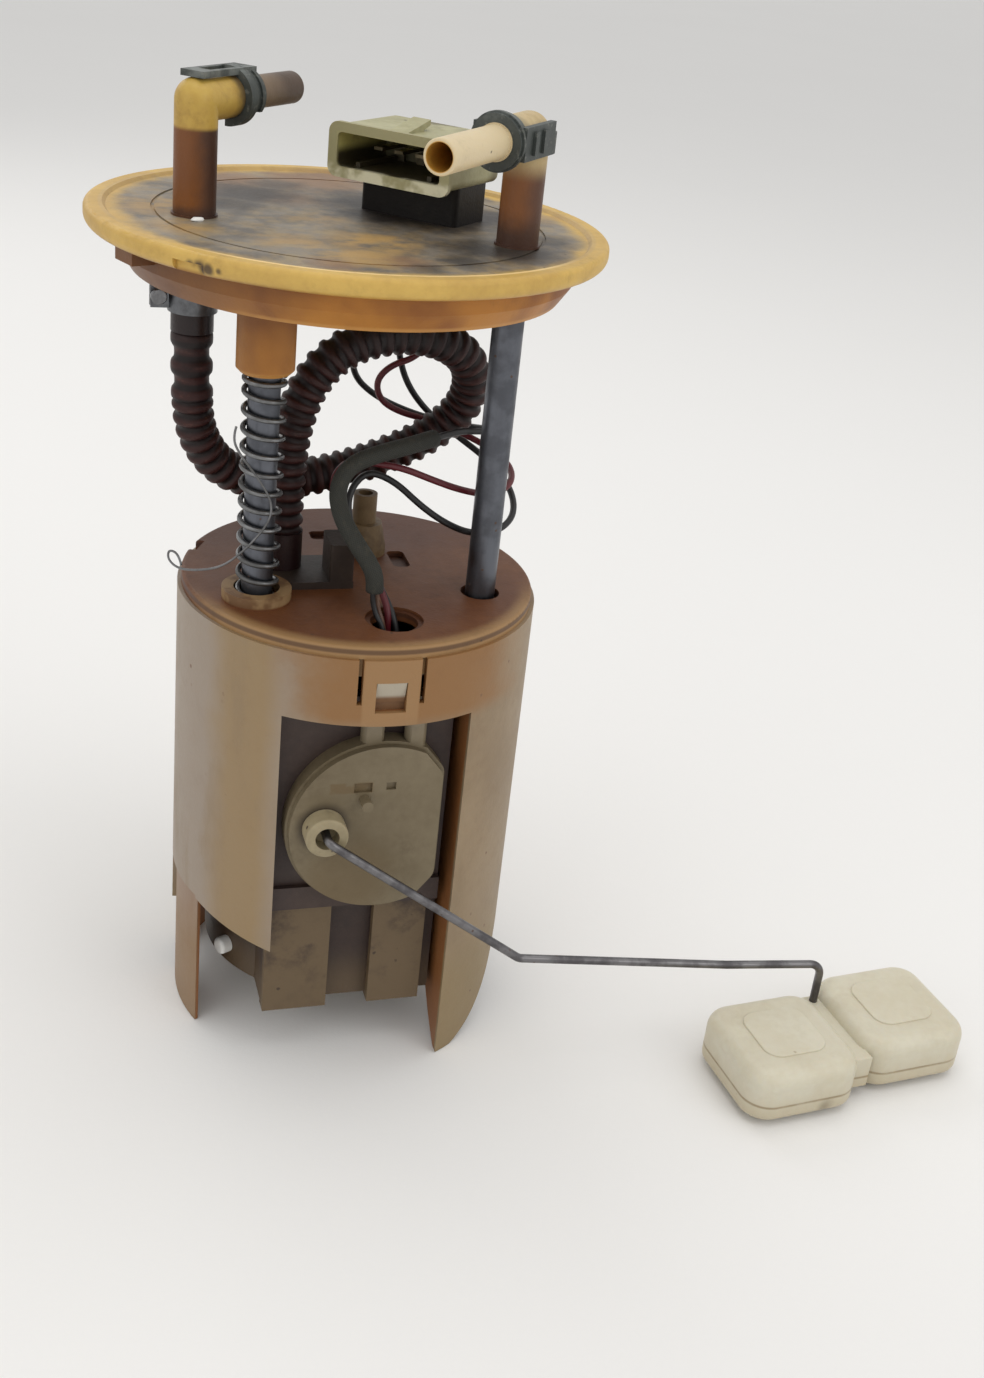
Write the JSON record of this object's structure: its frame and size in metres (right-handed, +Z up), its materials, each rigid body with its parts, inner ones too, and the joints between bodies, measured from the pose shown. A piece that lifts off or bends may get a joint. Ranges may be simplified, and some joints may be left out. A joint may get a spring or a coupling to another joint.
{
  "type": "in-tank fuel pump module",
  "caption": "In-tank fuel pump module: round cover with two elbow pipes and a socket, sprung guide rods, looped hose, reservoir with pump, level sender and float arm.",
  "frame": {"origin": "On the cover's axis, in the plane where the rim rests on the tank.", "axes": "+Z up along the rods towards the cover, -Y to the front with the level sender, +X to the side of the float."},
  "size_m": [0.2475, 0.1623, 0.2595],
  "materials": {
    "amber_plastic": "moulded, fuel-stained amber",
    "tan_plastic": "moulded, fuel-stained orange brown",
    "olive_plastic": "moulded, dusty olive cream",
    "ivory_plastic": "moulded, greyed ivory",
    "retainer_plastic": "moulded, worn blue grey",
    "white_plastic": "moulded white",
    "shell_plastic": "moulded, stained cream",
    "black_plastic": "moulded, dusty black",
    "grey_plastic": "moulded grey",
    "hub_plastic": "moulded ivory",
    "float_plastic": "moulded satin ivory",
    "hose_plastic": "corrugated, stained dark brown",
    "rod_steel": "drawn, lightly stained",
    "spring_steel": "dull wire",
    "arm_steel": "drawn wire",
    "bright_screw": "bright",
    "brass_contacts": "plain",
    "magnet_iron": "ground",
    "carbon": "pressed carbon",
    "dark_bush": "plain bearing",
    "seal_rubber": "soft black",
    "black_insulation": "wire insulation",
    "red_insulation": "wire insulation",
    "brown_insulation": "wire insulation",
    "sleeve_fabric": "woven sleeve",
    "filter_fabric": "fine filter mesh",
    "card_ceramic": "ceramic card with printed tracks"
  },
  "bodies": {
    "cover": {"cover": "amber_plastic", "supply_pipe": "amber_plastic", "return_pipe": "amber_plastic", "supply_retainer": "retainer_plastic", "return_retainer": "retainer_plastic", "connector_base": "black_plastic", "connector_socket": "olive_plastic", "connector_pins": "brass_contacts", "cover_plug": "black_plastic", "guide_rod": "rod_steel", "return_rod": "rod_steel", "rod_clips": "spring_steel", "spring": "spring_steel", "upper_cuff": "hose_plastic", "hose_clamp": "rod_steel", "clamp_screw": "bright_screw", "hose": "hose_plastic", "black_wire": "black_insulation", "red_wire": "red_insulation", "sender_lead": "black_insulation", "wire_sleeve": "sleeve_fabric", "brown_tail": "brown_insulation", "dark_tail": "black_insulation"},
    "reservoir": {"shell": "shell_plastic", "cap": "tan_plastic", "guide_bushes": "dark_bush", "outlet_block": "grey_plastic", "regulator_port": "tan_plastic", "lower_cuff": "hose_plastic", "wire_plug": "black_plastic", "swirl_pot": "shell_plastic", "inlet_valve": "seal_rubber", "pot_nub": "white_plastic", "strainer": "filter_fabric", "sender_plate": "shell_plastic", "sender_case": "ivory_plastic", "sender_cover": "ivory_plastic", "resistor_card": "card_ceramic", "outlet_tube": "seal_rubber", "pump_case": "rod_steel", "pump_inlet": "black_plastic", "pump_outlet": "black_plastic", "pump_bearings": "dark_bush", "pump_cushion": "seal_rubber", "magnets": "magnet_iron", "brushes": "carbon", "brush_holders": "black_plastic"},
    "float": {"arm_hub": "hub_plastic", "wiper": "brass_contacts", "float_arm": "arm_steel", "float_upper": "float_plastic", "float_lower": "float_plastic"},
    "rotor": {"rotor_shaft": "rod_steel", "armature": "magnet_iron", "commutator": "brass_contacts", "impeller": "black_plastic"}
  },
  "joints": [
    {"name": "lift", "type": "slide", "parent": "cover", "child": "reservoir", "axis": [0, 0, 1], "range_m": [0, 0.02], "stiffness_N_per_m": 350, "springref_m": -0.03, "deforming": ["spring", "hose", "black_wire", "red_wire", "sender_lead", "wire_sleeve", "brown_tail", "dark_tail"]},
    {"name": "float_swing", "type": "hinge", "parent": "reservoir", "child": "float", "pos_m": [-0.0084, -0.0501, -0.1428], "axis": [0, -1, 0], "range_deg": [0, 58]},
    {"name": "rotor_spin", "type": "hinge", "parent": "reservoir", "child": "rotor", "pos_m": [0.0064, -0.0028, -0.155], "axis": [0, 0, 1], "continuous": true}
  ]
}
